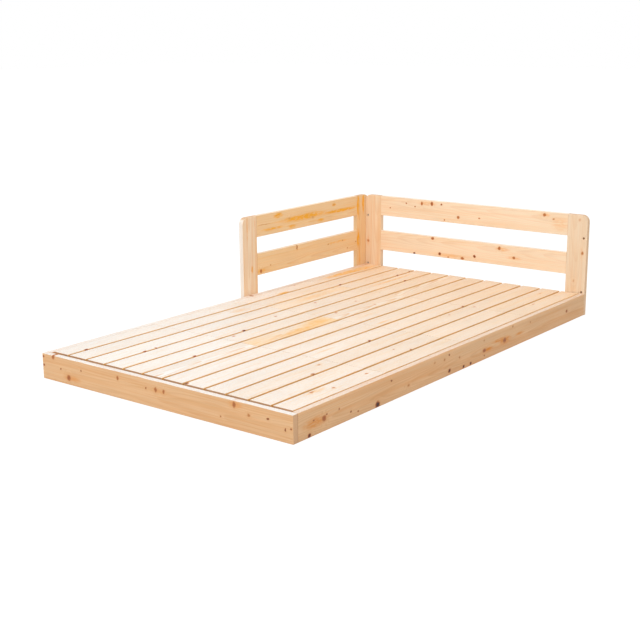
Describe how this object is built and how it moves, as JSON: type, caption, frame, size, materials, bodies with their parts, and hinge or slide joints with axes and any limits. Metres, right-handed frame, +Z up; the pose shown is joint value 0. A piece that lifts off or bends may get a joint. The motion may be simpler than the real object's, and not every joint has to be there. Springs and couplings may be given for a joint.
{
  "type": "slatted bed",
  "caption": "Low slatted bed in knotty softwood: a board box, a slat deck in four lift-out sections, a rail headboard and a short rail guard on one side.",
  "frame": {"origin": "on the floor, at the middle of the overall footprint", "axes": "+Z up, +Y from the foot end to the headboard, the guard stands on the -X side"},
  "size_m": [1.222, 2.082, 0.45],
  "materials": {
    "slat_softwood": "planed, unfinished",
    "box_softwood": "planed, clear matt oil",
    "panel_softwood": "planed, clear matt oil",
    "bearer_softwood": "planed, unfinished",
    "dowel_beech": "fluted dowel, modelled plain",
    "zinc_steel": "zinc plated"
  },
  "bodies": {
    "root": {"beam_dowels": "dowel_beech", "centre_beam": "bearer_softwood", "corner_barrel_nuts": "zinc_steel", "corner_block_foot_left": "bearer_softwood", "corner_block_foot_right": "bearer_softwood", "corner_block_head_left": "bearer_softwood", "corner_block_head_right": "bearer_softwood", "corner_block_screws": "zinc_steel", "corner_bolts": "zinc_steel", "deck_section_1_batten_front": "bearer_softwood", "deck_section_1_batten_rear": "bearer_softwood", "deck_section_1_screws": "zinc_steel", "deck_section_1_slats": "slat_softwood", "deck_section_2_batten_front": "bearer_softwood", "deck_section_2_batten_rear": "bearer_softwood", "deck_section_2_screws": "zinc_steel", "deck_section_2_slats": "slat_softwood", "deck_section_3_batten_front": "bearer_softwood", "deck_section_3_batten_rear": "bearer_softwood", "deck_section_3_screws": "zinc_steel", "deck_section_3_slats": "slat_softwood", "deck_section_4_batten_front": "bearer_softwood", "deck_section_4_batten_rear": "bearer_softwood", "deck_section_4_screws": "zinc_steel", "deck_section_4_slats": "slat_softwood", "foot_block_1": "bearer_softwood", "foot_block_2": "bearer_softwood", "foot_block_3": "bearer_softwood", "foot_block_4": "bearer_softwood", "foot_block_screws": "zinc_steel", "foot_board": "box_softwood", "foot_corner_dowels": "dowel_beech", "guard_bolts": "zinc_steel", "guard_cap_nuts": "zinc_steel", "guard_dowels": "dowel_beech", "guard_post_front": "panel_softwood", "guard_post_rear": "panel_softwood", "guard_rail_lower": "panel_softwood", "guard_rail_upper": "panel_softwood", "head_corner_dowels": "dowel_beech", "head_end_board": "bearer_softwood", "headboard_bolts": "zinc_steel", "headboard_cap_nuts": "zinc_steel", "headboard_dowels": "dowel_beech", "headboard_post_left": "panel_softwood", "headboard_post_right": "panel_softwood", "headboard_rail_lower": "panel_softwood", "headboard_rail_upper": "panel_softwood", "ledger_left": "bearer_softwood", "ledger_right": "bearer_softwood", "ledger_screws": "zinc_steel", "side_rail_left": "box_softwood", "side_rail_right": "box_softwood"}
  },
  "joints": []
}
